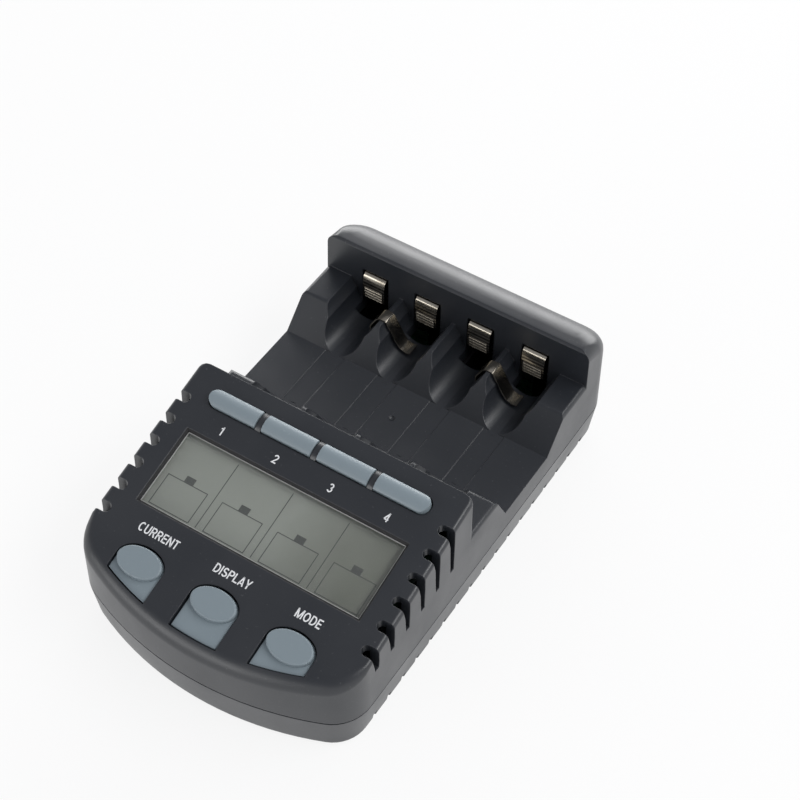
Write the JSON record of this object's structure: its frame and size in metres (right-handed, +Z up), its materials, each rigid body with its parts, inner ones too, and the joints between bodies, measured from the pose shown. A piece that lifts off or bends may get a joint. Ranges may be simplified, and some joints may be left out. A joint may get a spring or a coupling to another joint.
{
  "type": "battery charger",
  "caption": "Desk charger for AA and AAA cells: moulded two-shell case with a sloped display deck, push keys, stepped battery bays and sprung contacts.",
  "frame": {"origin": "on the resting surface, under the middle of the case", "axes": "+X to the right of the display, +Y from the display deck to the rear block, +Z up"},
  "size_m": [0.075, 0.123, 0.0385],
  "materials": {
    "shell_plastic": "charcoal black moulded plastic, fine spark texture",
    "clear_lens": "clear moulded plastic lens",
    "display_glass": "grey-green reflective display",
    "elastomer": "conductive elastomer strips",
    "board_green": "solder-masked circuit board",
    "component_black": "moulded black component bodies",
    "key_plastic": "slate grey moulded keys",
    "can_metal": "aluminium capacitor cans",
    "contact_nickel": "nickel-plated spring steel",
    "screw_steel": "zinc-plated steel",
    "foot_rubber": "soft black rubber"
  },
  "bodies": {
    "case": {"upper_shell": "shell_plastic", "lower_shell": "shell_plastic", "display_lens": "clear_lens", "lcd_panel": "display_glass", "lcd_connectors": "elastomer", "display_board": "board_green", "main_board": "board_green", "key_switches": "component_black", "control_chip": "component_black", "charge_transistors": "component_black", "board_link": "component_black", "power_socket": "component_black", "capacitors": "can_metal", "rear_contact_1": "contact_nickel", "rear_contact_2": "contact_nickel", "rear_contact_3": "contact_nickel", "rear_contact_4": "contact_nickel", "front_contact_1": "contact_nickel", "front_contact_2": "contact_nickel", "front_contact_3": "contact_nickel", "front_contact_4": "contact_nickel", "temperature_strip_1": "contact_nickel", "temperature_strip_2": "contact_nickel", "case_screws": "screw_steel", "rubber_feet": "foot_rubber"},
    "slot_key_1": {"slot_key_1": "key_plastic"},
    "slot_key_2": {"slot_key_2": "key_plastic"},
    "slot_key_3": {"slot_key_3": "key_plastic"},
    "slot_key_4": {"slot_key_4": "key_plastic"},
    "left_key": {"left_key": "key_plastic"},
    "middle_key": {"middle_key": "key_plastic"},
    "right_key": {"right_key": "key_plastic"}
  },
  "joints": [
    {"name": "slot_key_1_press", "type": "slide", "parent": "case", "child": "slot_key_1", "axis": [0, 0.2504, -0.9681], "range_m": [0, 0.0006], "stiffness_N_per_m": 800},
    {"name": "slot_key_2_press", "type": "slide", "parent": "case", "child": "slot_key_2", "axis": [0, 0.2504, -0.9681], "range_m": [0, 0.0006], "stiffness_N_per_m": 800},
    {"name": "slot_key_3_press", "type": "slide", "parent": "case", "child": "slot_key_3", "axis": [0, 0.2504, -0.9681], "range_m": [0, 0.0006], "stiffness_N_per_m": 800},
    {"name": "slot_key_4_press", "type": "slide", "parent": "case", "child": "slot_key_4", "axis": [0, 0.2504, -0.9681], "range_m": [0, 0.0006], "stiffness_N_per_m": 800},
    {"name": "left_key_press", "type": "slide", "parent": "case", "child": "left_key", "axis": [0, 0.2504, -0.9681], "range_m": [0, 0.0006], "stiffness_N_per_m": 800},
    {"name": "middle_key_press", "type": "slide", "parent": "case", "child": "middle_key", "axis": [0, 0.2504, -0.9681], "range_m": [0, 0.0006], "stiffness_N_per_m": 800},
    {"name": "right_key_press", "type": "slide", "parent": "case", "child": "right_key", "axis": [0, 0.2504, -0.9681], "range_m": [0, 0.0006], "stiffness_N_per_m": 800}
  ]
}
